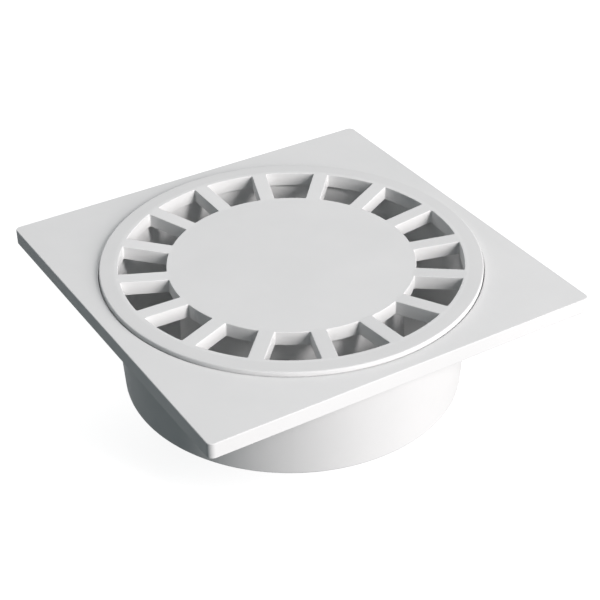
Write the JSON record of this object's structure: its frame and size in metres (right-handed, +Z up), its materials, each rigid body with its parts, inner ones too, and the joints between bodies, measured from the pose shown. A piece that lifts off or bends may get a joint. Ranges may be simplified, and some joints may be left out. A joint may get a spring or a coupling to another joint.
{
  "type": "gully trap",
  "caption": "Square floor gully with a round slotted grille, a tapered bowl, a bell trap over a standpipe and a bottom outlet spigot",
  "frame": {"origin": "centre of the outlet spigot's lower rim, the lowest point of the part", "axes": "+Z up along the outlet, X and Y along the sides of the square frame"},
  "size_m": [0.2, 0.2, 0.0957],
  "materials": {
    "body_plastic": "pale grey-white moulded PVC, satin",
    "grille_plastic": "pale grey-white moulded PVC, satin",
    "bell_plastic": "pale grey-white moulded PVC, satin"
  },
  "bodies": {
    "root": {"body": "body_plastic", "grille": "grille_plastic", "bell": "bell_plastic"}
  },
  "joints": []
}
